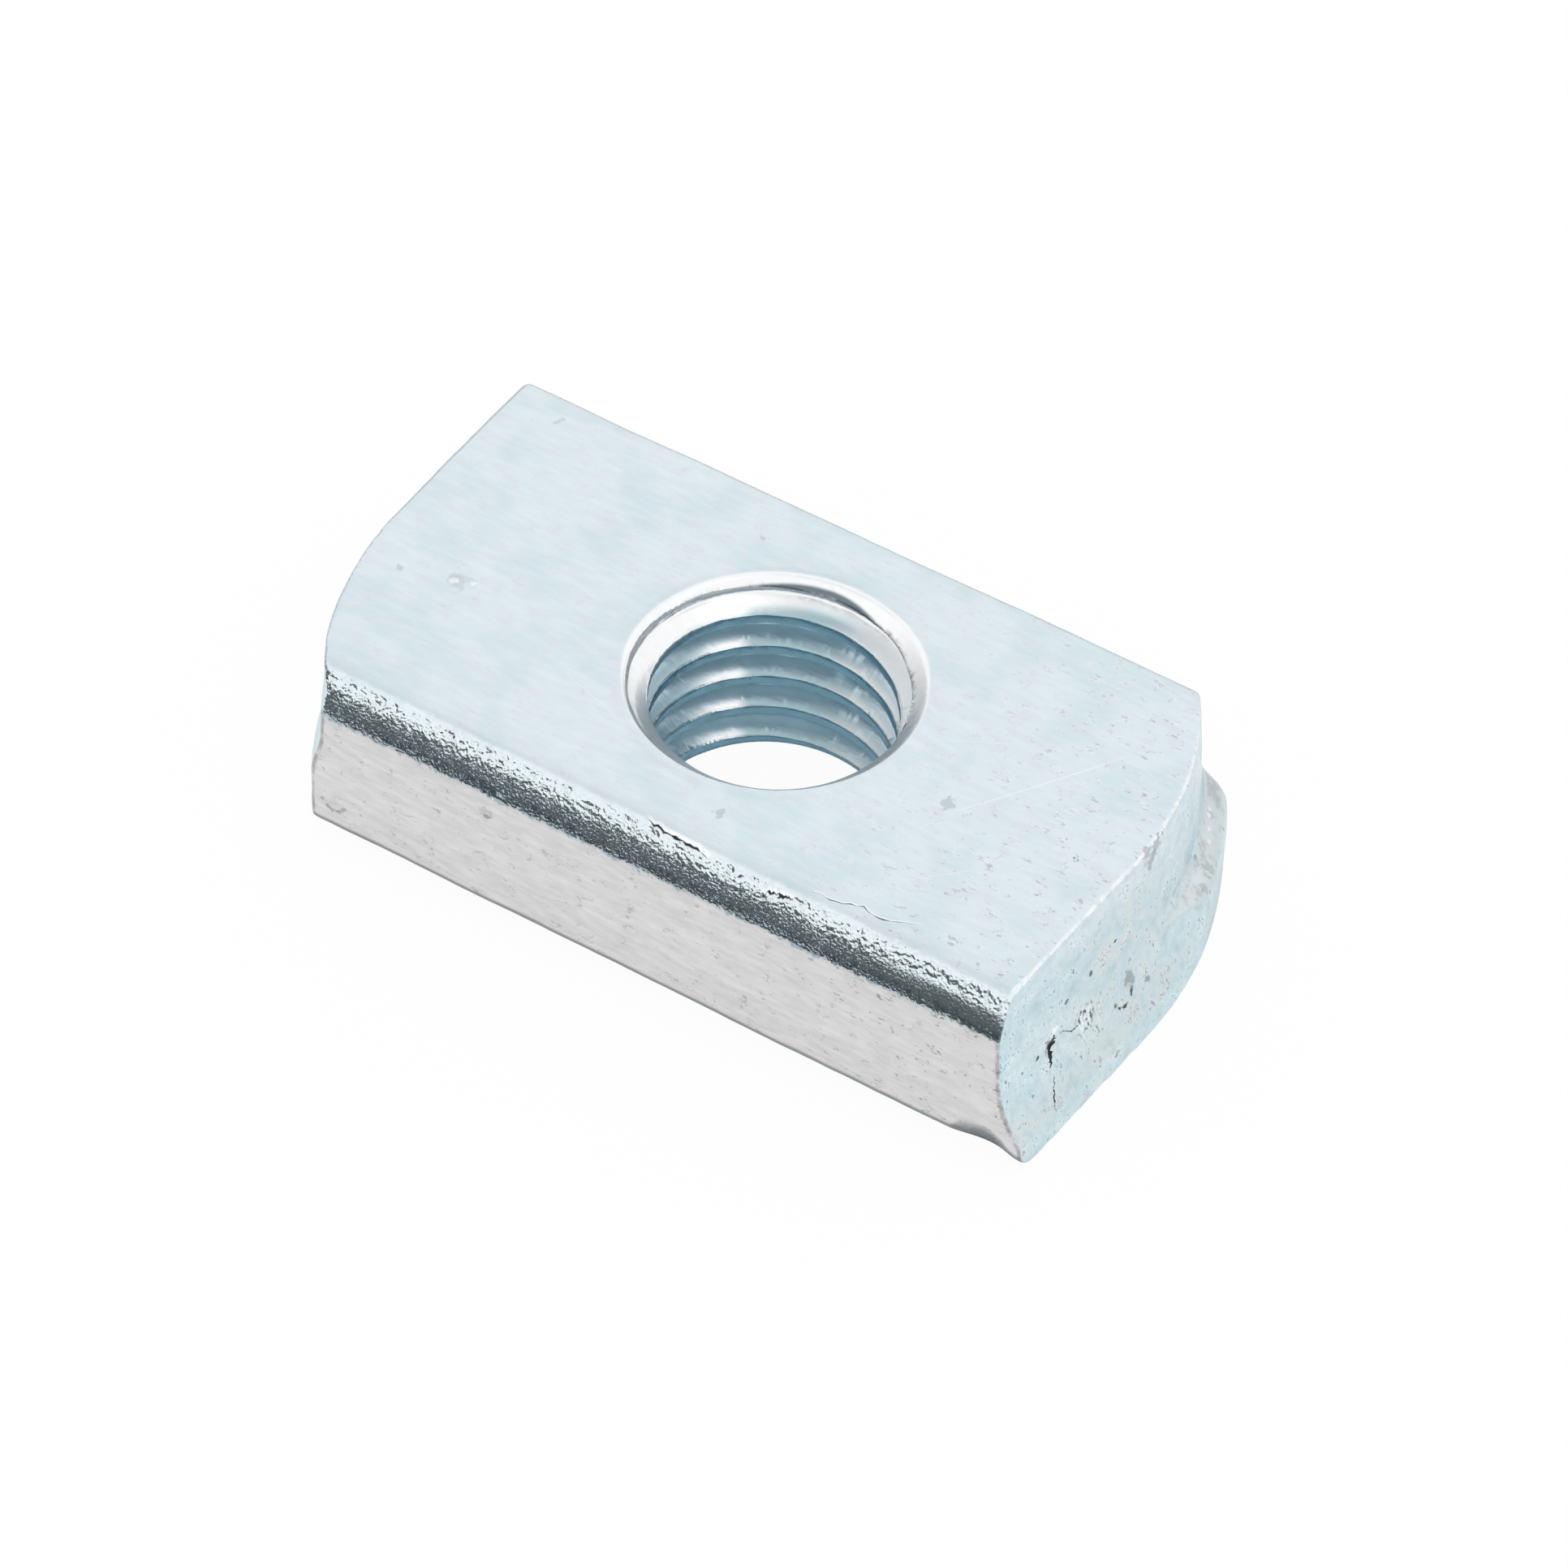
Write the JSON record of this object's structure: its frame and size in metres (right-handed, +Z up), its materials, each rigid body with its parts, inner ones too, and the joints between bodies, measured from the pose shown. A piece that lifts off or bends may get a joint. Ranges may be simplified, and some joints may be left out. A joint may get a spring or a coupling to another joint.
{
  "type": "rail nut",
  "caption": "Shaped steel nut for a slotted mounting rail: a flat bar with rounded long edges, opposite corners turned to twist into the slot, and a tapped bore.",
  "frame": {"origin": "on the bore's axis at the base face, the middle of the footprint", "axes": "+Z up along the bore through the top face, +X along the bar to its right end, +Y to the back"},
  "size_m": [0.0374, 0.0204, 0.0089],
  "materials": {
    "zinc_plate": "bright zinc plating, satin, on drawn and sheared steel"
  },
  "bodies": {
    "root": {"rail_nut": "zinc_plate"}
  },
  "joints": []
}
